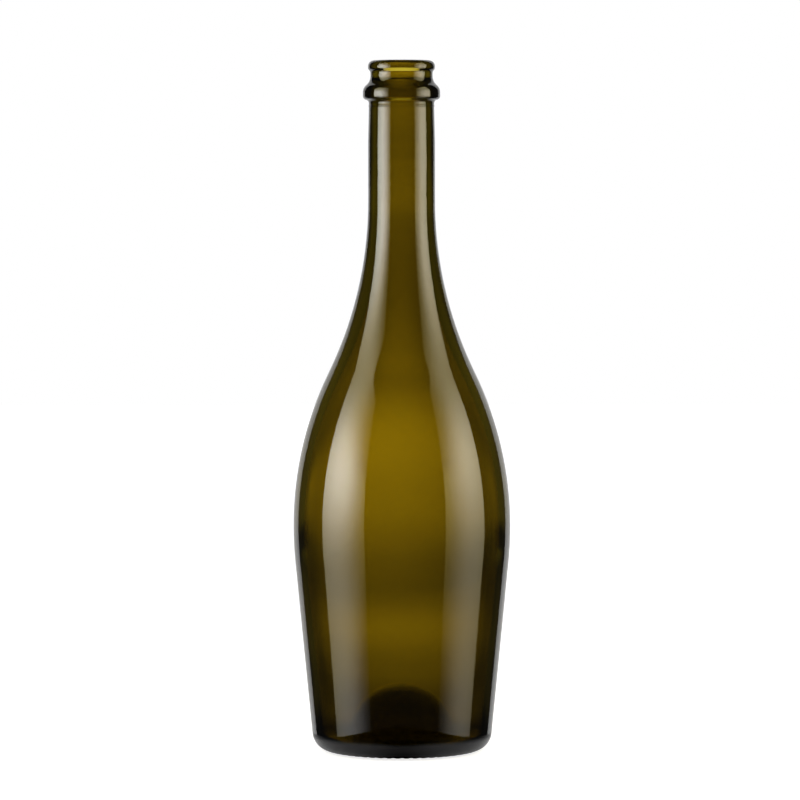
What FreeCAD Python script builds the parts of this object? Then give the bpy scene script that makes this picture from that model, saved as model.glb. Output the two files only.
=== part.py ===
import FreeCAD, Part
import math
import os

# Sparkling-wine bottle for 750 ml, one piece of moulded glass with an open mouth.
# The whole wall is one outline turned about the Z axis. Lengths are in millimetres.
# The origin is the centre of the circle that the bottle stands on, and +Z runs up to the mouth.

# Body, from the base up to the neck
belly_diameter = 94.4
belly_height = 98.0
lower_belly_round = 165.0
side_taper_deg = 5.6
heel_round = 8.0
shoulder_height = 141.4
shoulder_round_share = 0.472

# Neck
neck_diameter = 29.0
neck_length = 25.0
neck_top_diameter = 28.3
neck_draw_length = 15.5
seam_width = 0.8
seam_height = 0.15
seam_gap = 0.7

# Mouth, with a collar for a wire hood and a lip for a 29 mm crown cap
collar_diameter = 33.5
collar_under_height = 3.15
collar_band = 1.7
collar_top_height = 6.9
collar_top_round_share = 0.45
groove_diameter = 27.0
groove_band = 1.42
lip_diameter = 29.0
lip_under_height = 2.3
lip_band = 0.6
lip_round_share = 0.44
even_round_share = 0.5

# Inside
bore_diameter = 17.5
bore_length = 41.5
mouth_round_share = 0.26
throat_diameter = 18.8
throat_drop = 4.5
side_wall = 4.6
floor_thickness = 3.5
inner_heel_round = 6.0

# Base, with its punt and the knurled ring that it stands on
bearing_width = 5.4
rim_round = 8.5
punt_depth = 22.5
punt_wall = 7.0
knurl_count = 54
knurl_height = 0.5
knurl_gap = 2.0
cut_overrun = 1.0

# Worked-out radii and heights
belly_radius = belly_diameter / 2
neck_radius = neck_diameter / 2
lip_radius = lip_diameter / 2
bore_radius = bore_diameter / 2
lip_wall = lip_radius - bore_radius
taper = math.radians(side_taper_deg)


def sign(value):
    """The direction of a signed length: 1 or -1."""
    return math.copysign(1, value)


def cone_radius(height, depth):
    """Radius, at a height, of a cone that lies a square depth inside the body's tapered side."""
    top_radius = belly_radius - lower_belly_round * (1 - math.cos(taper))
    top_height = belly_height - lower_belly_round * math.sin(taper)
    return top_radius - (top_height - height) * math.tan(taper) - depth / math.cos(taper)


class Outline:
    """A chain of lines and arcs in the XZ half plane. Each edge starts where the last one ended."""

    def __init__(self, radius, height):
        self.radius = radius
        self.height = height
        self.edges = []

    def add(self, edge, radius, height):
        """Keeps an edge and moves on to its far end."""
        self.edges.append(edge.toShape())
        self.radius = radius
        self.height = height

    def line(self, radius, height):
        """A straight run to a point."""
        start = FreeCAD.Vector(self.radius, 0, self.height)
        end = FreeCAD.Vector(radius, 0, height)
        self.add(Part.LineSegment(start, end), radius, height)

    def rise(self, height):
        """A straight upright run that climbs, or drops where the height is negative."""
        self.line(self.radius, self.height + height)

    def arc(self, centre_radius, centre_height, sweep):
        """An arc about a centre. The sweep is in radians, counterclockwise from +X towards +Z."""
        reach = math.hypot(self.radius - centre_radius, self.height - centre_height)
        start = math.atan2(self.height - centre_height, self.radius - centre_radius)
        points = [
            FreeCAD.Vector(centre_radius + reach * math.cos(turn), 0, centre_height + reach * math.sin(turn))
            for turn in (start, start + sweep / 2, start + sweep)
        ]
        self.add(Part.Arc(*points), points[2].x, points[2].z)

    def bead(self, width, height):
        """A round bead that stands out from an upright wall and ends at the same radius."""
        bead_round = ((width / 2) ** 2 + height**2) / (2 * height)
        turn = 2 * math.asin(width / 2 / bead_round)
        self.arc(self.radius + height - bead_round, self.height + width / 2, turn)

    def upright_ogee(self, radius, rise, first_share):
        """Two tangent arcs from one upright wall to another at a new radius."""
        step = radius - self.radius
        side = sign(step)
        both_rounds = (rise**2 + step**2) / (2 * abs(step))
        turn = math.atan2(abs(rise), both_rounds - abs(step)) * side * sign(rise)
        first_round = both_rounds * first_share
        second_round = both_rounds - first_round
        end_height = self.height + rise
        self.arc(self.radius + side * first_round, self.height, -turn)
        self.arc(radius - side * second_round, end_height, turn)

    def level_ogee(self, radius, height, ring_round, ring_first):
        """Two tangent arcs between two level points: one round a ring, the other a dome on the axis."""
        step = radius - self.radius
        rise = height - self.height
        dome_round = (rise**2 + step**2) / (2 * abs(rise)) - ring_round
        turn = math.atan2(abs(step), dome_round + ring_round - abs(rise))
        if ring_first:
            self.arc(self.radius, self.height + ring_round, -turn)
            self.arc(radius, height - dome_round, turn)
        else:
            self.arc(self.radius, self.height - dome_round, -turn)
            self.arc(radius, height + ring_round, turn)


def draw_base(outline):
    """Underside of the punt, the bearing ring and the heel."""
    bearing_outer_radius = cone_radius(heel_round, heel_round)
    outline.level_ogee(bearing_outer_radius - bearing_width, 0, rim_round, False)
    outline.line(bearing_outer_radius, 0)
    outline.arc(bearing_outer_radius, heel_round, math.pi / 2 - taper)


def draw_body(outline):
    """Tapered side, belly, shoulder and neck, with the seam that the mould leaves just below the collar."""
    side_top_height = belly_height - lower_belly_round * math.sin(taper)
    outline.line(cone_radius(side_top_height, 0), side_top_height)
    outline.arc(belly_radius - lower_belly_round, belly_height, taper)
    outline.upright_ogee(neck_radius, shoulder_height, shoulder_round_share)
    outline.rise(neck_length)
    outline.line(neck_top_diameter / 2, outline.height + neck_draw_length)
    outline.bead(seam_width, seam_height)
    outline.rise(seam_gap)


def draw_mouth(outline):
    """Collar, groove and lip, over the top and into the bore."""
    lip_round = lip_wall * lip_round_share
    mouth_round = lip_wall * mouth_round_share
    outline.upright_ogee(collar_diameter / 2, collar_under_height, even_round_share)
    outline.rise(collar_band)
    outline.upright_ogee(groove_diameter / 2, collar_top_height, collar_top_round_share)
    outline.rise(groove_band)
    outline.upright_ogee(lip_radius, lip_under_height, even_round_share)
    outline.rise(lip_band)
    outline.arc(lip_radius - lip_round, outline.height, math.pi / 2)
    outline.line(bore_radius + mouth_round, outline.height)
    outline.arc(outline.radius, outline.height - mouth_round, math.pi / 2)
    outline.rise(-bore_length)


def draw_inside(outline):
    """Throat, inner shoulder, inner side and the floor, up to the top of the punt."""
    floor_ring_height = floor_thickness + inner_heel_round
    floor_ring_radius = cone_radius(floor_ring_height, side_wall + inner_heel_round)
    inner_side_foot = floor_ring_height - inner_heel_round * math.sin(taper)
    inner_belly_radius = belly_radius - side_wall
    throat_height = belly_height + shoulder_height - throat_drop
    outline.line(throat_diameter / 2, throat_height)
    outline.upright_ogee(inner_belly_radius, belly_height - throat_height, 1 - shoulder_round_share)
    outline.arc(belly_radius - lower_belly_round, belly_height, -taper)
    outline.line(cone_radius(inner_side_foot, side_wall), inner_side_foot)
    outline.arc(floor_ring_radius, floor_ring_height, taper - math.pi / 2)
    outline.level_ogee(0, punt_depth + punt_wall, inner_heel_round, True)


def turn_glass():
    """The bottle's wall as one solid of revolution."""
    outline = Outline(0, punt_depth)
    draw_base(outline)
    draw_body(outline)
    draw_mouth(outline)
    draw_inside(outline)
    outline.line(0, punt_depth)
    face = Part.Face(Part.Wire(outline.edges))
    return face.revolve(FreeCAD.Vector(), FreeCAD.Vector(0, 0, 1), math.degrees(2 * math.pi))


def knurl_cutters():
    """Round-topped radial cutters that leave one raised bar between each two of them."""
    bearing_outer_radius = cone_radius(heel_round, heel_round)
    cutter_round = ((knurl_gap / 2) ** 2 + knurl_height**2) / (2 * knurl_height)
    inner_runout = math.sqrt(knurl_height * (2 * rim_round - knurl_height)) + cut_overrun
    outer_runout = math.sqrt(knurl_height * (2 * heel_round - knurl_height)) + cut_overrun
    start_radius = bearing_outer_radius - bearing_width - inner_runout
    length = bearing_width + inner_runout + outer_runout
    cutters = []
    for index in range(knurl_count):
        angle = math.pi * (2 * index + 1) / knurl_count
        direction = FreeCAD.Vector(math.cos(angle), math.sin(angle), 0)
        foot = direction * start_radius + FreeCAD.Vector(0, 0, knurl_height - cutter_round)
        cutters.append(Part.makeCylinder(cutter_round, length, foot, direction))
    return cutters


def make_glass_bottle():
    """The finished glass, with the knurled ring cut into its base."""
    return turn_glass().cut(knurl_cutters()).Solids[0]


os.makedirs("parts", exist_ok=True)
glass_bottle = make_glass_bottle()
glass_bottle.exportStep("parts/glass_bottle.step")
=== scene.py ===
import logging
import math
from dataclasses import dataclass, field
from enum import Enum, Flag, auto
from typing import Sequence

import bpy
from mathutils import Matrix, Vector


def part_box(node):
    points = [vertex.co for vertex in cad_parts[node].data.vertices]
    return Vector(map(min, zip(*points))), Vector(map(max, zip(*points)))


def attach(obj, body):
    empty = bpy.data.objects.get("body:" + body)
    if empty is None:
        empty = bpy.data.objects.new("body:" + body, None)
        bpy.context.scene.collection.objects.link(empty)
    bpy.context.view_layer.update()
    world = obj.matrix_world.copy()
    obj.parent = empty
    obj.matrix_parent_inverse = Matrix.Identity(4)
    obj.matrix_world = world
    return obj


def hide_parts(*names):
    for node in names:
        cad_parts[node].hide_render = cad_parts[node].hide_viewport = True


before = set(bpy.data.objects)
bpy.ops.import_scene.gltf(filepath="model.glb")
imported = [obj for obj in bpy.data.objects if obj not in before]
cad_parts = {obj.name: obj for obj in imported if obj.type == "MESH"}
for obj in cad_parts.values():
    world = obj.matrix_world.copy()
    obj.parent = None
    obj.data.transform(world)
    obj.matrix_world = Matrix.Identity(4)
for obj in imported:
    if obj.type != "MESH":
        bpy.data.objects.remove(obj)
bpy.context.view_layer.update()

log = logging.getLogger("bottle")
BOTTLE_NODE = "glass_bottle"
BODY = "root"

Colour = tuple[float, float, float]
Point = tuple[float, float, float]

WHITE: Colour = (1.0, 1.0, 1.0)


class Side(Enum):
    """Side of the bottle that a soft box stands on, as its sign along X."""

    LEFT = -1
    RIGHT = 1


class Seen(Flag):
    """Kinds of light that a piece of the studio takes part in."""

    CAMERA = auto()
    MATT = auto()
    GLOSS = auto()
    THROUGH = auto()


class Ring(Enum):
    """Which end of a level ogee is the ring, the other being the dome on the axis."""

    FIRST = "first"
    LAST = "last"


@dataclass
class Outline:
    """A half section of a turned piece, walked point by point along lines and tangent arcs.

    Attributes:
        radius: Distance of the last point from the axis, in metres.
        height: Height of the last point, in metres.
        turn_step: Largest turn between two points of an arc, in radians.
        run_step: Largest distance between two points of an arc.
        guard: Distance from each end of a line to the extra point that keeps its shading straight.
        guarded_length: Length above which a line gets those points.
        points: All points so far, as (radius, height).
    """

    radius: float
    height: float
    turn_step: float = math.radians(6.5)
    run_step: float = 0.0045
    guard: float = 0.0004
    guarded_length: float = 0.0012
    points: list[tuple[float, float]] = field(default_factory=list)

    def __post_init__(self) -> None:
        """Starts the chain at the given point."""
        self.points.append((self.radius, self.height))

    def step_to(self, radius: float, height: float) -> None:
        """Adds one point.

        Args:
            radius: Radius of the point.
            height: Height of the point.
        """
        self.radius = radius
        self.height = height
        self.points.append((radius, height))

    def line(self, radius: float, height: float) -> None:
        """Walks straight to a point, with a guard point near each end.

        Args:
            radius: Radius of the end.
            height: Height of the end.
        """
        start = Vector((self.radius, self.height))
        run = Vector((radius, height)) - start
        if run.length > self.guarded_length:
            near = start + run.normalized() * self.guard
            far = start + run - run.normalized() * self.guard
            self.step_to(near.x, near.y)
            self.step_to(far.x, far.y)
        self.step_to(radius, height)

    def rise(self, height: float) -> None:
        """Walks straight up, or down where the height is negative."""
        self.line(self.radius, self.height + height)

    def arc(self, centre_radius: float, centre_height: float, sweep: float) -> None:
        """Walks along an arc.

        Args:
            centre_radius: Radius of the arc's centre.
            centre_height: Height of the arc's centre.
            sweep: Turn in radians, counterclockwise from outwards to upwards.
        """
        away = Vector((self.radius - centre_radius, self.height - centre_height))
        start = math.atan2(away.y, away.x)
        count = math.ceil(max(abs(sweep) / self.turn_step, abs(sweep) * away.length / self.run_step))
        for index in range(1, count + 1):
            turn = start + sweep * index / count
            radius = centre_radius + away.length * math.cos(turn)
            height = centre_height + away.length * math.sin(turn)
            self.step_to(radius, height)

    def bead(self, width: float, height: float) -> None:
        """Walks over a round bead that stands out from an upright wall.

        Args:
            width: Width of the bead along the wall.
            height: Height of the bead above the wall.
        """
        bead_round = ((width / 2) ** 2 + height**2) / (2 * height)
        turn = 2 * math.asin(width / 2 / bead_round)
        self.arc(self.radius + height - bead_round, self.height + width / 2, turn)

    def upright_ogee(self, radius: float, rise: float, first_share: float) -> None:
        """Walks along two tangent arcs from one upright wall to another.

        Args:
            radius: Radius of the wall at the end.
            rise: Height gained, negative on the way down.
            first_share: Share of the two arcs' radii that the first arc takes.
        """
        step = radius - self.radius
        side = math.copysign(1, step)
        both_rounds = (rise**2 + step**2) / (2 * abs(step))
        turn = math.atan2(abs(rise), both_rounds - abs(step)) * side * math.copysign(1, rise)
        first_round = both_rounds * first_share
        end_height = self.height + rise
        self.arc(self.radius + side * first_round, self.height, -turn)
        self.arc(radius - side * (both_rounds - first_round), end_height, turn)

    def level_ogee(self, radius: float, height: float, ring_round: float, ring: Ring) -> None:
        """Walks along two tangent arcs between two level points: one round a ring, one a dome on the axis.

        Args:
            radius: Radius of the end point.
            height: Height of the end point.
            ring_round: Radius of the ring's arc.
            ring: Whether the ring or the dome comes first.
        """
        step = radius - self.radius
        rise = height - self.height
        dome_round = (rise**2 + step**2) / (2 * abs(rise)) - ring_round
        turn = math.atan2(abs(step), dome_round + ring_round - abs(rise))
        if ring is Ring.FIRST:
            self.arc(self.radius, self.height + ring_round, -turn)
            self.arc(radius, height - dome_round, turn)
        else:
            self.arc(self.radius, self.height - dome_round, -turn)
            self.arc(radius, height + ring_round, turn)


@dataclass(frozen=True)
class Patch:
    """A soft patch of light or shade on a card.

    Attributes:
        level: Brightness that it adds in its middle, where 1 is white; shade is negative.
        place: Place of its middle along X.
        along: Place of its middle along the card's other direction, up or away from the camera.
        width: Reach along X.
        reach: Reach along the other direction.
    """

    level: float
    place: float
    along: float
    width: float
    reach: float


@dataclass
class NodeTree:
    """A thin helper that adds nodes to a Blender node tree and links them.

    Attributes:
        tree: The node tree that is being built.
    """

    tree: bpy.types.NodeTree

    def add(
        self, kind: str, inputs: dict[str | int, object] | None = None, **settings: object
    ) -> bpy.types.Node:
        """Adds a node, sets its properties and fills its inputs.

        Args:
            kind: Blender's type name of the node.
            inputs: Values or sockets by input name or number; a socket is linked.
            **settings: Properties of the node itself.

        Returns:
            The new node.
        """
        node = self.tree.nodes.new(kind)
        for name, value in settings.items():
            setattr(node, name, value)
        for key, value in (inputs or {}).items():
            if isinstance(value, bpy.types.NodeSocket):
                self.tree.links.new(value, node.inputs[key])
            else:
                node.inputs[key].default_value = value
        return node

    def math(self, operation: str, *values: object) -> bpy.types.NodeSocket:
        """Adds a Math node and returns its result.

        Args:
            operation: Blender's name of the operation.
            *values: Numbers or sockets, in order.

        Returns:
            The result's socket.
        """
        return self.add("ShaderNodeMath", dict(enumerate(values)), operation=operation).outputs[0]

    def place(self) -> bpy.types.bpy_prop_collection:
        """Adds nodes that give the X, Y and Z of a point in its object, in metres."""
        spot = self.add("ShaderNodeTexCoord").outputs["Object"]
        return self.add("ShaderNodeSeparateXYZ", {0: spot}).outputs

    def away(self, spot: bpy.types.bpy_prop_collection) -> bpy.types.NodeSocket:
        """Adds nodes for the distance of a point from the Z axis.

        Args:
            spot: The X, Y and Z of the point.

        Returns:
            The distance.
        """
        squares = self.math("ADD", self.math("POWER", spot["X"], 2.0), self.math("POWER", spot["Y"], 2.0))
        return self.math("SQRT", squares)

    def bell(self, value: bpy.types.NodeSocket, middle: float, reach: float) -> bpy.types.NodeSocket:
        """Adds nodes for a bell curve, which is 1 in its middle and about a third at its reach.

        Args:
            value: The value that the curve runs along.
            middle: Value at the curve's top.
            reach: Distance over which the curve falls to about a third.

        Returns:
            The curve's height.
        """
        off = self.math("DIVIDE", self.math("SUBTRACT", value, middle), reach)
        return self.math("EXPONENT", self.math("MULTIPLY", self.math("POWER", off, 2.0), -1.0))

    def ramp(
        self, value: bpy.types.NodeSocket, start: float, end: float, low: float, high: float
    ) -> bpy.types.NodeSocket:
        """Adds a straight ramp that stays level beyond its ends.

        Args:
            value: The value that the ramp runs along.
            start: Value at which the ramp starts.
            end: Value at which it ends.
            low: Result at the start.
            high: Result at the end.

        Returns:
            The ramp's result.
        """
        limits = {"Value": value, "From Min": start, "From Max": end, "To Min": low, "To Max": high}
        return self.add("ShaderNodeMapRange", limits).outputs[0]

    def patch(
        self,
        level: bpy.types.NodeSocket,
        patch: Patch,
        across: bpy.types.NodeSocket,
        along: bpy.types.NodeSocket,
    ) -> bpy.types.NodeSocket:
        """Adds a soft patch to a brightness, which never falls below zero.

        Args:
            level: The brightness so far.
            patch: The patch of light or shade.
            across: Place along X.
            along: Place along the card's other direction.

        Returns:
            The brightness with the patch in it.
        """
        wide = self.bell(across, patch.place, patch.width)
        long = self.bell(along, patch.along, patch.reach)
        share = self.math("MULTIPLY", wide, long)
        return self.math("MAXIMUM", self.math("MULTIPLY_ADD", share, patch.level, level), 0.0)

    def glow(self, strength: bpy.types.NodeSocket, tint: Colour = WHITE) -> bpy.types.NodeSocket:
        """Adds plain light of the given strength and tint, and returns its shader."""
        return self.add("ShaderNodeEmission", {"Color": (*tint, 1.0), "Strength": strength}).outputs[0]

    def both(self, first: bpy.types.NodeSocket, second: bpy.types.NodeSocket) -> bpy.types.NodeSocket:
        """Adds two shaders up and returns their sum."""
        return self.add("ShaderNodeAddShader", {0: first, 1: second}).outputs[0]

    def surface(self, shader: bpy.types.NodeSocket) -> None:
        """Ends a material in a shader."""
        self.add("ShaderNodeOutputMaterial", {"Surface": shader})


def blank_material(name: str) -> tuple[bpy.types.Material, NodeTree]:
    """Makes a material with an empty node tree.

    Args:
        name: Name of the material.

    Returns:
        The material and the helper that fills its tree.
    """
    material = bpy.data.materials.new(name)
    material.use_nodes = True
    material.node_tree.nodes.clear()
    return material, NodeTree(material.node_tree)


@dataclass
class KnurledLathe:
    """Geometry Nodes that turn a half section about the Z axis and press radial gaps into its foot.

    Attributes:
        segments: Faces around the axis.
        knurl_count: Raised bars around the foot.
        knurl_height: Height of a bar.
        knurl_gap: Width of the round-topped gap between two bars.
        weld: Distance under which points are joined, at the seam and the poles.
    """

    segments: int
    knurl_count: int
    knurl_height: float
    knurl_gap: float
    weld: float = 0.000002

    def tree(self) -> bpy.types.GeometryNodeTree:
        """Builds the node group with its named inputs.

        Returns:
            The node group, ready for a Nodes modifier on a curve that holds the half section.
        """
        group = bpy.data.node_groups.new("knurled_lathe", "GeometryNodeTree")
        face = group.interface
        face.new_socket("Section", in_out="INPUT", socket_type="NodeSocketGeometry")
        for name in ("Segments", "Knurl Count"):
            face.new_socket(name, in_out="INPUT", socket_type="NodeSocketInt")
        for name in ("Knurl Height", "Knurl Gap", "Weld"):
            face.new_socket(name, in_out="INPUT", socket_type="NodeSocketFloat")
        face.new_socket("Glass", in_out="INPUT", socket_type="NodeSocketMaterial")
        face.new_socket("Turned", in_out="OUTPUT", socket_type="NodeSocketGeometry")

        nodes = NodeTree(group)
        given = nodes.add("NodeGroupInput").outputs
        place = nodes.add("GeometryNodeInputPosition").outputs[0]
        section = nodes.add("GeometryNodeCaptureAttribute", {0: given["Section"]}, domain="POINT")
        section.capture_items.new("VECTOR", "Place")
        group.links.new(place, section.inputs["Place"])

        around = {"Resolution": given["Segments"]}
        path = nodes.add("GeometryNodeCurvePrimitiveCircle", around, mode="RADIUS")
        count = nodes.add("GeometryNodeInputIndex").outputs[0]
        turn = nodes.math("MULTIPLY", nodes.math("DIVIDE", count, given["Segments"]), math.tau)
        turned_path = nodes.add("GeometryNodeCaptureAttribute", {0: path.outputs[0]}, domain="POINT")
        turned_path.capture_items.new("FLOAT", "Turn")
        group.links.new(turn, turned_path.inputs["Turn"])

        curves = {"Curve": turned_path.outputs[0], "Profile Curve": section.outputs[0]}
        sheet = nodes.add("GeometryNodeCurveToMesh", curves)
        angle = turned_path.outputs["Turn"]
        section_place = nodes.add("ShaderNodeSeparateXYZ", {0: section.outputs["Place"]}).outputs
        radius, height = section_place["X"], section_place["Z"]
        lifted = self.lift(nodes, given, angle, radius, height)
        spot = nodes.add(
            "ShaderNodeCombineXYZ",
            {
                0: nodes.math("MULTIPLY", radius, nodes.math("COSINE", angle)),
                1: nodes.math("MULTIPLY", radius, nodes.math("SINE", angle)),
                2: lifted,
            },
        )
        placed = nodes.add("GeometryNodeSetPosition", {0: sheet.outputs[0], "Position": spot.outputs[0]})
        welded = nodes.add("GeometryNodeMergeByDistance", {0: placed.outputs[0], "Distance": given["Weld"]})
        outward = nodes.add("GeometryNodeFlipFaces", {0: welded.outputs[0]})
        smooth = nodes.add("GeometryNodeSetShadeSmooth", {0: outward.outputs[0]})
        real = nodes.add("GeometryNodeRealizeInstances", {0: smooth.outputs[0]})
        dressed = nodes.add("GeometryNodeSetMaterial", {0: real.outputs[0], "Material": given["Glass"]})
        nodes.add("NodeGroupOutput", {0: dressed.outputs[0]})
        return group

    def lift(
        self,
        nodes: NodeTree,
        given: bpy.types.bpy_prop_collection,
        angle: bpy.types.NodeSocket,
        radius: bpy.types.NodeSocket,
        height: bpy.types.NodeSocket,
    ) -> bpy.types.NodeSocket:
        """Raises points of the foot to the round top of the gap that they lie in.

        Args:
            nodes: The tree that is being built.
            given: The group's inputs.
            angle: Angle of the point about the axis.
            radius: Radius of the point.
            height: Height of the point in the plain section.

        Returns:
            The height with the knurl in it.
        """
        half_gap = nodes.math("DIVIDE", given["Knurl Gap"], 2.0)
        squares = nodes.math(
            "ADD", nodes.math("POWER", half_gap, 2.0), nodes.math("POWER", given["Knurl Height"], 2.0)
        )
        gap_round = nodes.math("DIVIDE", squares, nodes.math("MULTIPLY", given["Knurl Height"], 2.0))
        pitch = nodes.math("DIVIDE", math.tau, given["Knurl Count"])
        past_bar = nodes.math("FLOORED_MODULO", angle, pitch)
        within = nodes.math("SUBTRACT", past_bar, nodes.math("DIVIDE", pitch, 2.0))
        aside = nodes.math("MULTIPLY", radius, nodes.math("SINE", within))
        drop = nodes.math("SUBTRACT", nodes.math("POWER", gap_round, 2.0), nodes.math("POWER", aside, 2.0))
        crown = nodes.math("SQRT", nodes.math("MAXIMUM", drop, 0.0))
        ceiling = nodes.math("ADD", nodes.math("SUBTRACT", crown, gap_round), given["Knurl Height"])
        return nodes.math("MAXIMUM", height, ceiling)

    def turn(self, name: str, outline: Outline, glass: bpy.types.Material) -> bpy.types.Object:
        """Turns an outline and returns the result as a plain mesh object.

        Args:
            name: Name of the finished piece.
            outline: The half section, from the axis round to the axis.
            glass: Material of the whole piece.

        Returns:
            A mesh object at the origin.
        """
        curve = bpy.data.curves.new(name + "_section", "CURVE")
        curve.dimensions = "3D"
        spline = curve.splines.new("POLY")
        spline.points.add(len(outline.points) - 1)
        for point, (radius, height) in zip(spline.points, outline.points):
            point.co = (radius, 0.0, height, 1.0)
        carrier = bpy.data.objects.new(name + "_section", curve)
        bpy.context.scene.collection.objects.link(carrier)

        group = self.tree()
        modifier = carrier.modifiers.new("lathe", "NODES")
        modifier.node_group = group
        sizes = {
            "Segments": self.segments,
            "Knurl Count": self.knurl_count,
            "Knurl Height": self.knurl_height,
            "Knurl Gap": self.knurl_gap,
            "Weld": self.weld,
            "Glass": glass,
        }
        for socket in group.interface.items_tree:
            if socket.name in sizes:
                modifier[socket.identifier] = sizes[socket.name]
        carrier.update_tag()
        bpy.context.view_layer.update()
        depsgraph = bpy.context.evaluated_depsgraph_get()
        mesh = bpy.data.meshes.new_from_object(carrier.evaluated_get(depsgraph), depsgraph=depsgraph)
        mesh.name = name
        carrier.modifiers.remove(modifier)
        bpy.data.objects.remove(carrier)
        piece = bpy.data.objects.new(name, mesh)
        bpy.context.scene.collection.objects.link(piece)
        return piece


@dataclass(frozen=True)
class BottleGlass:
    """Clear coloured bottle glass with the faint waves that blowing leaves.

    Attributes:
        name: Name of the material.
        refraction: Index of refraction.
        skin_tint: Colour of the light after one wall, whatever its thickness.
        punt_shade_tint: Painted shade at the punt, where the glass is thickest: the darker colour that the
            surface takes there.
        punt_inner: Distance from the axis up to which the punt's painted shade is whole.
        punt_outer: Distance from the axis at which that painted shade has faded.
        punt_low: Height up to which the punt's painted shade is whole.
        punt_high: Height at which that painted shade has faded.
        body_tint: Colour that the body of the glass lets through most.
        body_density: How fast the body takes up the other colours, per metre.
        polish_low: Least roughness of the surface.
        polish_high: Largest roughness of the surface.
        wave_scale: Waves per metre.
        wave_detail: How many finer sizes of waves lie in them.
        wave_depth: Depth of the waves, in metres.
        wave_share: Share of that depth that shades the surface.
    """

    name: str = "olive_bottle_glass"
    refraction: float = 1.52
    skin_tint: Colour = (1.0, 0.8, 0.2)
    punt_shade_tint: Colour = (0.34, 0.3, 0.08)
    punt_inner: float = 0.024
    punt_outer: float = 0.031
    punt_low: float = 0.032
    punt_high: float = 0.04
    body_tint: Colour = (0.53, 0.514, 0.0)
    body_density: float = 426.0
    polish_low: float = 0.035
    polish_high: float = 0.06
    wave_scale: float = 38.0
    wave_detail: float = 2.0
    wave_depth: float = 0.001
    wave_share: float = 0.02

    def skin(self, nodes: NodeTree) -> bpy.types.NodeSocket:
        """Adds nodes for the tint of the surface, with painted shade that darkens it at the punt.

        Args:
            nodes: The glass's nodes.

        Returns:
            The tint.
        """
        spot = nodes.place()
        # Painted shade: inside the punt's radius and below its height, the surface tint turns to the darker
        # punt tint.
        within = nodes.ramp(nodes.away(spot), self.punt_inner, self.punt_outer, 1.0, 0.0)
        low = nodes.ramp(spot["Z"], self.punt_low, self.punt_high, 1.0, 0.0)
        share = nodes.math("MULTIPLY", within, low)
        tints = {"Fac": share, "Color1": (*self.skin_tint, 1.0), "Color2": (*self.punt_shade_tint, 1.0)}
        return nodes.add("ShaderNodeMixRGB", tints).outputs[0]

    def material(self) -> bpy.types.Material:
        """Builds the glass: a clear surface with a coloured body and painted shade at the punt.

        Returns:
            The material.
        """
        glass, nodes = blank_material(self.name)
        spot = nodes.add("ShaderNodeTexCoord").outputs["Object"]
        noise = {"Vector": spot, "Scale": self.wave_scale, "Detail": self.wave_detail}
        waves = nodes.add("ShaderNodeTexNoise", noise).outputs[0]
        depth = {"Strength": self.wave_share, "Distance": self.wave_depth, "Height": waves}
        bump = nodes.add("ShaderNodeBump", depth)
        polish = nodes.ramp(waves, 0.0, 1.0, self.polish_low, self.polish_high)
        surface = nodes.add(
            "ShaderNodeBsdfPrincipled",
            {
                # Surface tint, with painted shade at the punt.
                "Base Color": self.skin(nodes),
                "Roughness": polish,
                "IOR": self.refraction,
                "Transmission Weight": 1.0,
                "Normal": bump.outputs[0],
            },
        )
        body = nodes.add(
            "ShaderNodeVolumeAbsorption", {"Color": (*self.body_tint, 1.0), "Density": self.body_density}
        )
        nodes.add("ShaderNodeOutputMaterial", {"Surface": surface.outputs[0], "Volume": body.outputs[0]})
        return glass


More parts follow.
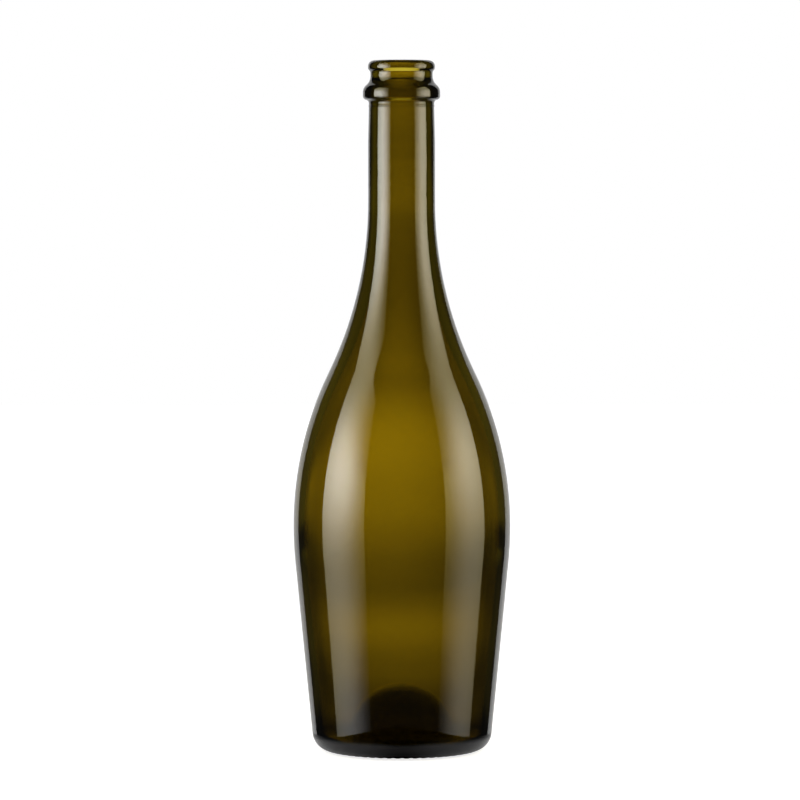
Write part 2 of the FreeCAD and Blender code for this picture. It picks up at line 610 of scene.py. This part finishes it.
@dataclass
class GlassBottle:
    """The whole bottle, one piece of moulded glass. Sizes are in metres.

    Attributes:
        belly_diameter: Largest width.
        belly_height: Height of the widest place.
        lower_belly_round: Radius of the curve from the belly down to the side.
        side_taper: Angle by which the side draws in towards the foot, in radians.
        heel_round: Radius of the heel.
        shoulder_height: Height of the shoulder above the widest place.
        shoulder_round_share: Share of the shoulder's two radii that its lower arc takes.
        neck_diameter: Width of the neck above the shoulder.
        neck_length: Length of the neck's upright part.
        neck_top_diameter: Width of the neck below the seam.
        neck_draw_length: Length over which the neck draws in to that width.
        seam_width: Width of the fine bead below the collar.
        seam_height: Height of the bead above the neck.
        seam_gap: Upright part between the bead and the collar.
        collar_diameter: Width of the collar.
        collar_under_height: Height of the curve under the collar.
        collar_band: Height of the collar's upright band.
        collar_top_height: Height of the curve from the collar to the groove.
        collar_top_round_share: Share of that curve's two radii that its first arc takes.
        groove_diameter: Width of the glass at the groove.
        groove_band: Height of the groove's upright band.
        lip_diameter: Width of the lip.
        lip_under_height: Height of the curve under the lip.
        lip_band: Height of the lip's upright band.
        lip_round_share: Radius of the lip's outer edge as a share of its wall.
        even_round_share: Share of the first arc in a curve of two like arcs.
        bore_diameter: Width of the bore.
        bore_length: Length of the bore's upright part.
        mouth_round_share: Radius of the lip's inner edge as a share of its wall.
        throat_diameter: Width of the inside where the neck meets the shoulder.
        throat_drop: Depth of that place below the shoulder's top.
        side_wall: Thickness of the side.
        floor_thickness: Thickness of the floor at its lowest ring.
        inner_heel_round: Radius inside between the side and the floor.
        bearing_width: Width of the ring that the bottle stands on.
        rim_round: Radius from that ring into the punt.
        punt_depth: Height of the punt's underside.
        punt_wall: Thickness of the glass at the punt's top.
        knurl_count: Raised bars around the ring.
        knurl_height: Height of a bar.
        knurl_gap: Width of the gap between two bars.
        segments_per_bar: Faces around the axis for each bar.
        finish: The glass.
    """

    belly_diameter: float = 0.0944
    belly_height: float = 0.098
    lower_belly_round: float = 0.165
    side_taper: float = math.radians(5.6)
    heel_round: float = 0.008
    shoulder_height: float = 0.1414
    shoulder_round_share: float = 0.472
    neck_diameter: float = 0.029
    neck_length: float = 0.025
    neck_top_diameter: float = 0.0283
    neck_draw_length: float = 0.0155
    seam_width: float = 0.0008
    seam_height: float = 0.00015
    seam_gap: float = 0.0007
    collar_diameter: float = 0.0335
    collar_under_height: float = 0.00315
    collar_band: float = 0.0017
    collar_top_height: float = 0.0069
    collar_top_round_share: float = 0.45
    groove_diameter: float = 0.027
    groove_band: float = 0.00142
    lip_diameter: float = 0.029
    lip_under_height: float = 0.0023
    lip_band: float = 0.0006
    lip_round_share: float = 0.44
    even_round_share: float = 0.5
    bore_diameter: float = 0.0175
    bore_length: float = 0.0415
    mouth_round_share: float = 0.26
    throat_diameter: float = 0.0188
    throat_drop: float = 0.0045
    side_wall: float = 0.0046
    floor_thickness: float = 0.0035
    inner_heel_round: float = 0.006
    bearing_width: float = 0.0054
    rim_round: float = 0.0085
    punt_depth: float = 0.0225
    punt_wall: float = 0.007
    knurl_count: int = 54
    knurl_height: float = 0.0005
    knurl_gap: float = 0.002
    segments_per_bar: int = 6
    finish: BottleGlass = BottleGlass()

    def cone_radius(self, height: float, depth: float) -> float:
        """Works out the radius of a cone that lies inside the tapered side.

        Args:
            height: Height at which the radius is wanted.
            depth: Depth of the cone inside the side, square to it.

        Returns:
            The radius.
        """
        top_radius = self.belly_diameter / 2 - self.lower_belly_round * (1 - math.cos(self.side_taper))
        top_height = self.belly_height - self.lower_belly_round * math.sin(self.side_taper)
        draw_in = (top_height - height) * math.tan(self.side_taper)
        return top_radius - draw_in - depth / math.cos(self.side_taper)

    def outline(self) -> Outline:
        """Walks the half section from the punt's underside, over the outside and the mouth, to the inside.

        Returns:
            The closed half section, with both ends on the axis.
        """
        outline = Outline(0.0, self.punt_depth)
        self.walk_base(outline)
        self.walk_body(outline)
        self.walk_mouth(outline)
        self.walk_inside(outline)
        return outline

    def walk_base(self, outline: Outline) -> None:
        """Walks the underside of the punt, the bearing ring and the heel.

        Args:
            outline: The half section so far.
        """
        bearing_outer = self.cone_radius(self.heel_round, self.heel_round)
        outline.level_ogee(bearing_outer - self.bearing_width, 0.0, self.rim_round, Ring.LAST)
        outline.line(bearing_outer, 0.0)
        outline.arc(bearing_outer, self.heel_round, math.pi / 2 - self.side_taper)

    def walk_body(self, outline: Outline) -> None:
        """Walks the tapered side, the belly, the shoulder, the neck and the seam below the collar.

        Args:
            outline: The half section so far.
        """
        side_top = self.belly_height - self.lower_belly_round * math.sin(self.side_taper)
        outline.line(self.cone_radius(side_top, 0.0), side_top)
        outline.arc(self.belly_diameter / 2 - self.lower_belly_round, self.belly_height, self.side_taper)
        outline.upright_ogee(self.neck_diameter / 2, self.shoulder_height, self.shoulder_round_share)
        outline.rise(self.neck_length)
        outline.line(self.neck_top_diameter / 2, outline.height + self.neck_draw_length)
        outline.bead(self.seam_width, self.seam_height)
        outline.rise(self.seam_gap)

    def walk_mouth(self, outline: Outline) -> None:
        """Walks the collar, the groove and the lip, over the top and down the bore.

        Args:
            outline: The half section so far.
        """
        lip_radius = self.lip_diameter / 2
        bore_radius = self.bore_diameter / 2
        lip_round = (lip_radius - bore_radius) * self.lip_round_share
        mouth_round = (lip_radius - bore_radius) * self.mouth_round_share
        outline.upright_ogee(self.collar_diameter / 2, self.collar_under_height, self.even_round_share)
        outline.rise(self.collar_band)
        outline.upright_ogee(self.groove_diameter / 2, self.collar_top_height, self.collar_top_round_share)
        outline.rise(self.groove_band)
        outline.upright_ogee(lip_radius, self.lip_under_height, self.even_round_share)
        outline.rise(self.lip_band)
        outline.arc(lip_radius - lip_round, outline.height, math.pi / 2)
        outline.line(bore_radius + mouth_round, outline.height)
        outline.arc(outline.radius, outline.height - mouth_round, math.pi / 2)
        outline.rise(-self.bore_length)

    def walk_inside(self, outline: Outline) -> None:
        """Walks the throat, the inner shoulder and side, and the floor up to the top of the punt.

        Args:
            outline: The half section so far.
        """
        ring_height = self.floor_thickness + self.inner_heel_round
        ring_radius = self.cone_radius(ring_height, self.side_wall + self.inner_heel_round)
        side_foot = ring_height - self.inner_heel_round * math.sin(self.side_taper)
        throat_height = self.belly_height + self.shoulder_height - self.throat_drop
        inner_belly_radius = self.belly_diameter / 2 - self.side_wall
        outline.line(self.throat_diameter / 2, throat_height)
        inner_share = 1 - self.shoulder_round_share
        outline.upright_ogee(inner_belly_radius, self.belly_height - throat_height, inner_share)
        outline.arc(self.belly_diameter / 2 - self.lower_belly_round, self.belly_height, -self.side_taper)
        outline.line(self.cone_radius(side_foot, self.side_wall), side_foot)
        outline.arc(ring_radius, ring_height, self.side_taper - math.pi / 2)
        outline.level_ogee(0.0, self.punt_depth + self.punt_wall, self.inner_heel_round, Ring.FIRST)

    def build(self) -> bpy.types.Object:
        """Turns the glass, dresses it and sets it in the place of its CAD node.

        Returns:
            The finished piece.
        """
        lathe = KnurledLathe(
            segments=self.knurl_count * self.segments_per_bar,
            knurl_count=self.knurl_count,
            knurl_height=self.knurl_height,
            knurl_gap=self.knurl_gap,
        )
        piece = lathe.turn("bottle", self.outline(), self.finish.material())
        low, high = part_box(BOTTLE_NODE)
        top = max(corner.co.z for corner in piece.data.vertices)
        faces = len(piece.data.polygons)
        log.info("%s: %d faces, height %.4f m in a frame of %.4f m", piece.name, faces, top, high.z - low.z)
        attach(piece, BODY)
        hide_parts(BOTTLE_NODE)
        return piece


def stage_card(
    name: str, corners: Sequence[Point], material: bpy.types.Material, seen: Seen
) -> bpy.types.Object:
    """Makes a flat card of the studio from its corners.

    Args:
        name: Name of the card.
        corners: Points in order round the card, in metres.
        material: Material of the card.
        seen: Kinds of light that the card takes part in.

    Returns:
        The card.
    """
    mesh = bpy.data.meshes.new(name)
    mesh.from_pydata(corners, [], [tuple(range(len(corners)))])
    mesh.materials.append(material)
    card = bpy.data.objects.new(name, mesh)
    bpy.context.scene.collection.objects.link(card)
    card.visible_camera = Seen.CAMERA in seen
    card.visible_diffuse = Seen.MATT in seen
    card.visible_glossy = Seen.GLOSS in seen
    card.visible_transmission = Seen.THROUGH in seen
    log.info("%s: stage", name)
    return card


@dataclass
class SoftBox:
    """A tall soft box at one side, brightest in its middle and fading towards its edges.

    Attributes:
        side: Side of the bottle.
        level: Brightness of the hot spot over the rest, where 1 is white.
        rest_level: Brightness away from the hot spot.
        tint: Colour of that light.
        hot_height: Height of the hot spot.
        front: Place of the edge nearest the camera, along Y.
        back: Place of the far edge, along Y.
        middle: Place along Y where the panel is brightest.
        spread: Distance along Y over which it fades.
        fill_low: Brightness of the panel's warm fill at its foot.
        fill_high: Brightness of the fill at the top.
        fill_tint: Colour of the fill.
        fill_spread: Distance along Y over which the fill fades, at the top.
        fill_start: Height from which the fill grows brighter.
        fill_end: Height from which the fill is fully bright.
        even_height: Height up to which the fill is even out to the panel's edges.
        even_end: Height from which the fill fades towards the edges.
        fill_foot: Height below which there is no fill, in line with the axis.
        fill_whole: Height from which the fill is whole, in line with the axis.
        fill_slope: Fall of those two heights per distance towards the camera.
        distance: Distance of the panel from the bottle's axis.
        bottom: Height of the lower edge.
        top: Height of the upper edge.
        hot_reach: Distance up or down over which the hot spot fades.
    """

    side: Side
    level: float
    rest_level: float
    tint: Colour
    hot_height: float
    front: float
    back: float
    middle: float
    spread: float
    fill_low: float
    fill_high: float
    fill_tint: Colour = (1.0, 0.84, 0.25)
    fill_spread: float = 0.42
    fill_start: float = -0.15
    fill_end: float = 0.5
    even_height: float = 0.28
    even_end: float = 0.42
    fill_foot: float = -0.158
    fill_whole: float = -0.11
    fill_slope: float = 0.06
    distance: float = 0.6
    bottom: float = -0.6
    top: float = 0.85
    hot_reach: float = 0.19

    @property
    def name(self) -> str:
        """Name of the panel and of its material."""
        return "soft_box_" + self.side.name.lower()

    def material(self) -> bpy.types.Material:
        """Builds the panel's glow.

        Returns:
            The material.
        """
        glow, nodes = blank_material(self.name)
        spot = nodes.place()
        hot = nodes.bell(spot["Z"], self.hot_height, self.hot_reach)
        level = nodes.math("MULTIPLY_ADD", hot, self.level, self.rest_level)
        fade = nodes.bell(spot["Y"], self.middle, self.spread)
        main = nodes.glow(nodes.math("MULTIPLY", fade, level), self.tint)
        fill_level = nodes.ramp(spot["Z"], self.fill_start, self.fill_end, self.fill_low, self.fill_high)
        even = nodes.ramp(spot["Z"], self.even_height, self.even_end, 1.0, 0.0)
        shape = nodes.math("MAXIMUM", nodes.bell(spot["Y"], self.middle, self.fill_spread), even)
        above = nodes.math("MULTIPLY_ADD", spot["Y"], -self.fill_slope, spot["Z"])
        foot = nodes.ramp(above, self.fill_foot, self.fill_whole, 0.0, 1.0)
        filled = nodes.math("MULTIPLY", nodes.math("MULTIPLY", fill_level, shape), foot)
        fill = nodes.glow(filled, self.fill_tint)
        nodes.surface(nodes.both(main, fill))
        return glow

    def build(self) -> bpy.types.Object:
        """Sets up the panel, which shows in the gloss and lights the floor.

        Returns:
            The panel.
        """
        x = self.side.value * self.distance
        corners = [
            (x, self.front, self.bottom),
            (x, self.back, self.bottom),
            (x, self.back, self.top),
            (x, self.front, self.top),
        ]
        return stage_card(self.name, corners, self.material(), Seen.GLOSS | Seen.MATT)


@dataclass
class Backdrop:
    """A card behind the bottle, dim at its foot and brighter towards its top, with soft patches.

    Attributes:
        name: Name of the card.
        seen: Kinds of light that show it.
        half_width: Half the card's width.
        distance: Distance of the card behind the bottle's axis.
        bottom: Height of the lower edge.
        top: Height of the upper edge.
        foot_level: Brightness below the table top.
        middle_level: Brightness above it.
        foot_end: Height up to which the foot is dim.
        middle_start: Height from which the middle is fully bright.
        rise_level: Brightness that the top adds.
        rise_start: Height at which the card starts to grow brighter.
        rise_end: Height from which the top is fully bright.
        rise_reach: Distance to each side over which that brightness fades.
        patches: Patches of light and shade.
    """

    name: str
    seen: Seen
    half_width: float
    distance: float = 0.9
    bottom: float = -0.6
    top: float = 1.4
    foot_level: float = 1.0
    middle_level: float = 1.0
    foot_end: float = 0.005
    middle_start: float = 0.04
    rise_level: float = 0.0
    rise_start: float = 0.17
    rise_end: float = 0.4
    rise_reach: float = 0.55
    patches: tuple[Patch, ...] = ()

    def material(self) -> bpy.types.Material:
        """Builds the card's light.

        Returns:
            The material.
        """
        card, nodes = blank_material(self.name)
        spot = nodes.place()
        middle = nodes.ramp(spot["Z"], self.foot_end, self.middle_start, self.foot_level, self.middle_level)
        rise = nodes.ramp(spot["Z"], self.rise_start, self.rise_end, 0.0, self.rise_level)
        level = nodes.math("MULTIPLY_ADD", rise, nodes.bell(spot["X"], 0.0, self.rise_reach), middle)
        for patch in self.patches:
            level = nodes.patch(level, patch, spot["X"], spot["Z"])
        nodes.surface(nodes.glow(level))
        return card

    def build(self) -> bpy.types.Object:
        """Sets up the card.

        Returns:
            The card.
        """
        corners = [
            (-self.half_width, self.distance, self.bottom),
            (self.half_width, self.distance, self.bottom),
            (self.half_width, self.distance, self.top),
            (-self.half_width, self.distance, self.top),
        ]
        return stage_card(self.name, corners, self.material(), self.seen)


@dataclass
class TableLight:
    """Light of the table top under the bottle: dark at the bottle, lighter away from it, with a ring.

    Attributes:
        name: Name of the disc.
        seen: Kinds of light that show it.
        radius: Half the disc's width.
        ring_level: Brightness that the ring adds, where 1 is white.
        ring_radius: Radius of the ring's middle.
        ring_reach: Reach of the ring to each side.
        level: Brightness away from the bottle.
        dark_radius: Radius within which the table is dark.
        light_radius: Radius from which the table is fully light.
        side_middle: Place along X where the light is strongest.
        side_reach: Distance to each side over which the light fades.
        patches: Patches of light and shade.
        depth_share: The disc's depth as a share of its width.
        open_level: Brightness of the table beside and before the bottle.
        open_near: Radius within which that brightness is missing.
        open_far: Radius from which it is complete.
        open_start: Distance to each side from which the table grows that bright.
        open_end: Distance to each side from which it is that bright.
        open_depth: Distance before the axis from which it is that bright.
        drop: Depth below the bottle, so that the faces don't fight.
        corners: Corners of the disc.
    """

    name: str
    seen: Seen
    radius: float
    ring_level: float
    ring_radius: float
    ring_reach: float
    level: float = 0.0
    dark_radius: float = 0.05
    light_radius: float = 0.25
    side_middle: float = 0.0
    side_reach: float = 0.26
    patches: tuple[Patch, ...] = ()
    depth_share: float = 1.0
    open_level: float = 0.0
    open_near: float = 0.08
    open_far: float = 0.22
    open_start: float = 0.36
    open_end: float = 0.5
    open_depth: float = 0.08
    drop: float = 0.0003
    corners: int = 96

    def material(self) -> bpy.types.Material:
        """Builds the disc's light.

        Returns:
            The material.
        """
        table, nodes = blank_material(self.name)
        spot = nodes.place()
        away = nodes.away(spot)
        plain = nodes.ramp(away, self.dark_radius, self.light_radius, 0.0, self.level)
        ring = nodes.bell(away, self.ring_radius, self.ring_reach)
        level = nodes.math("MULTIPLY_ADD", ring, self.ring_level, plain)
        for patch in self.patches:
            level = nodes.patch(level, patch, spot["X"], spot["Y"])
        middle = nodes.math("MULTIPLY", level, nodes.bell(spot["X"], self.side_middle, self.side_reach))
        aside = nodes.ramp(nodes.math("ABSOLUTE", spot["X"]), self.open_start, self.open_end, 0.0, 1.0)
        before = nodes.ramp(spot["Y"], -self.open_depth, 0.0, 1.0, 0.0)
        open_light = nodes.ramp(away, self.open_near, self.open_far, 0.0, self.open_level)
        around = nodes.math("MULTIPLY", nodes.math("MAXIMUM", aside, before), open_light)
        nodes.surface(nodes.glow(nodes.math("MAXIMUM", middle, around)))
        return table

    def build(self) -> bpy.types.Object:
        """Lays the disc.

        Returns:
            The disc.
        """
        turns = [math.tau * index / self.corners for index in range(self.corners)]
        depth = self.radius * self.depth_share
        corners = [(self.radius * math.cos(turn), depth * math.sin(turn), -self.drop) for turn in turns]
        return stage_card(self.name, corners, self.material(), self.seen)


@dataclass
class Floor:
    """A plain pale floor.

    Attributes:
        half_width: Half the floor's width.
        drop: Depth below the bottle.
        paleness: Lightness of the floor.
        lift: Brightness that the floor has of its own to the camera.
    """

    half_width: float = 3.0
    drop: float = 0.0006
    paleness: float = 0.8
    lift: float = 0.8

    def material(self) -> bpy.types.Material:
        """Builds the floor's surface: matt, and white to the camera outside the shadow.

        Returns:
            The material.
        """
        floor, nodes = blank_material("floor")
        seen = nodes.add("ShaderNodeLightPath").outputs["Is Camera Ray"]
        pale = (self.paleness, self.paleness, self.paleness, 1.0)
        matt = nodes.add("ShaderNodeBsdfDiffuse", {"Color": pale}).outputs[0]
        light = nodes.glow(nodes.math("MULTIPLY", seen, self.lift))
        nodes.surface(nodes.both(matt, light))
        return floor

    def build(self) -> bpy.types.Object:
        """Lays the floor.

        Returns:
            The floor.
        """
        corners = [
            (-self.half_width, -self.half_width, -self.drop),
            (self.half_width, -self.half_width, -self.drop),
            (self.half_width, self.half_width, -self.drop),
            (-self.half_width, self.half_width, -self.drop),
        ]
        return stage_card("floor", corners, self.material(), Seen.CAMERA | Seen.MATT)


@dataclass
class Room:
    """The space round the table: white to the camera, dim in the glass, soft on the floor.

    Attributes:
        through_glass: Brightness that shows through the glass.
        in_gloss: Brightness that shows in reflections.
        on_floor: Brightness that lights matt surfaces.
    """

    through_glass: float = 0.45
    in_gloss: float = 0.02
    on_floor: float = 0.5

    def build(self) -> bpy.types.World:
        """Builds the world and makes it the scene's.

        Returns:
            The world.
        """
        world = bpy.data.worlds.new("room")
        world.use_nodes = True
        world.node_tree.nodes.clear()
        nodes = NodeTree(world.node_tree)
        path = nodes.add("ShaderNodeLightPath").outputs
        strength = path["Is Camera Ray"]
        levels = {
            "Is Transmission Ray": self.through_glass,
            "Is Glossy Ray": self.in_gloss,
            "Is Diffuse Ray": self.on_floor,
        }
        for kind, level in levels.items():
            strength = nodes.math("MULTIPLY_ADD", path[kind], level, strength)
        light = nodes.add("ShaderNodeBackground", {"Color": (*WHITE, 1.0), "Strength": strength})
        nodes.add("ShaderNodeOutputWorld", {"Surface": light.outputs[0]})
        bpy.context.scene.world = world
        log.info("room: stage")
        return world


@dataclass
class Camera:
    """The photograph's camera, in front of the bottle and a little above its middle.

    Attributes:
        distance: Distance from the bottle's axis.
        height: Height above the table.
        down: Angle that it looks down by, in radians.
        aside: Angle that it looks to the side by, in radians, to the left of the picture's middle.
        roll: Angle that it leans to the right by, in radians.
        focal_pixels: Focal length in pixels of the photograph.
        picture_pixels: Width of the photograph in pixels.
        sensor: Width of the sensor, in millimetres.
    """

    distance: float = 1.914
    height: float = 0.2465
    down: float = math.radians(2.806)
    aside: float = math.radians(0.0207)
    roll: float = math.radians(0.05)
    focal_pixels: float = 4407.0
    picture_pixels: float = 800.0
    sensor: float = 36.0

    def build(self) -> bpy.types.Object:
        """Makes the camera and hands it to the scene.

        Returns:
            The camera.
        """
        data = bpy.data.cameras.new("camera")
        data.sensor_width = self.sensor
        data.lens = self.focal_pixels / self.picture_pixels * self.sensor
        camera = bpy.data.objects.new("camera", data)
        camera.location = (0.0, -self.distance, self.height)
        camera.rotation_euler = (math.pi / 2 - self.down, self.roll, self.aside)
        bpy.context.scene.collection.objects.link(camera)
        bpy.context.scene.camera = camera
        log.info("camera: lens %.1f mm", data.lens)
        return camera


@dataclass
class LightPaths:
    """How far light is followed through the glass.

    Attributes:
        bounces: Most turns of a light path in all.
        through: Most passes through glass.
        gloss: Most mirror-like turns.
    """

    bounces: int = 24
    through: int = 24
    gloss: int = 12

    def set(self) -> None:
        """Sets the scene's light paths and plain colours."""
        scene = bpy.context.scene
        scene.cycles.max_bounces = self.bounces
        scene.cycles.transmission_bounces = self.through
        scene.cycles.glossy_bounces = self.gloss
        scene.view_settings.view_transform = "Standard"


def write_sizes() -> None:
    """Brings the view layer up to date."""
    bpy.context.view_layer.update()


def main() -> None:
    """Builds the bottle and the studio round it."""
    logging.basicConfig(level=logging.INFO, format="%(name)s: %(message)s")
    GlassBottle().build()
    Floor().build()
    TableLight(
        "table",
        Seen.THROUGH,
        radius=0.75,
        ring_level=0.5,
        ring_radius=0.535,
        ring_reach=0.13,
        level=0.5,
        dark_radius=0.1,
        light_radius=0.3,
        side_middle=-0.03,
        open_level=0.45,
        patches=(
            Patch(level=-0.5, place=-0.22, along=0.55, width=0.11, reach=0.16),
            Patch(level=-0.6, place=0.22, along=0.55, width=0.12, reach=0.16),
            Patch(level=-0.35, place=-0.13, along=0.25, width=0.06, reach=0.09),
            Patch(level=-0.35, place=0.13, along=0.25, width=0.06, reach=0.09),
            Patch(level=0.2, place=0.0, along=0.115, width=0.1, reach=0.045),
        ),
    ).build()
    TableLight(
        "foot_light",
        Seen.GLOSS,
        radius=0.066,
        depth_share=1.3,
        ring_level=0.55,
        ring_radius=0.044,
        ring_reach=0.012,
        patches=(
            Patch(level=-0.35, place=0.0, along=-0.044, width=0.018, reach=0.02),
            Patch(level=0.7, place=0.0, along=0.055, width=0.2, reach=0.035),
        ),
    ).build()
    Backdrop(
        "backdrop",
        Seen.THROUGH,
        half_width=1.3,
        foot_level=0.05,
        middle_level=0.5,
        rise_level=1.15,
        patches=(
            Patch(level=1.25, place=-0.04, along=0.108, width=0.16, reach=0.05),
            Patch(level=0.6, place=-0.06, along=0.02, width=0.18, reach=0.06),
            Patch(level=1.3, place=-0.34, along=0.09, width=0.1, reach=0.055),
            Patch(level=0.7, place=0.34, along=0.09, width=0.1, reach=0.055),
            Patch(level=0.3, place=-0.25, along=0.22, width=0.12, reach=0.06),
        ),
    ).build()
    Backdrop("white_wall", Seen.GLOSS, half_width=0.7, foot_level=0.72, middle_level=0.72).build()
    SoftBox(
        Side.LEFT,
        level=6.7,
        rest_level=1.5,
        tint=WHITE,
        hot_height=0.26,
        front=-0.73,
        back=0.0,
        middle=-0.23,
        spread=0.3,
        fill_low=0.8,
        fill_high=2.2,
    ).build()
    SoftBox(
        Side.RIGHT,
        level=3.7,
        rest_level=1.3,
        tint=(1.0, 0.93, 0.8),
        hot_height=0.28,
        front=-0.58,
        back=0.05,
        middle=-0.15,
        spread=0.27,
        fill_low=0.5,
        fill_high=1.7,
        fill_end=0.25,
    ).build()
    Room().build()
    Camera().build()
    LightPaths().set()
    write_sizes()


if __name__ == "__main__":
    main()
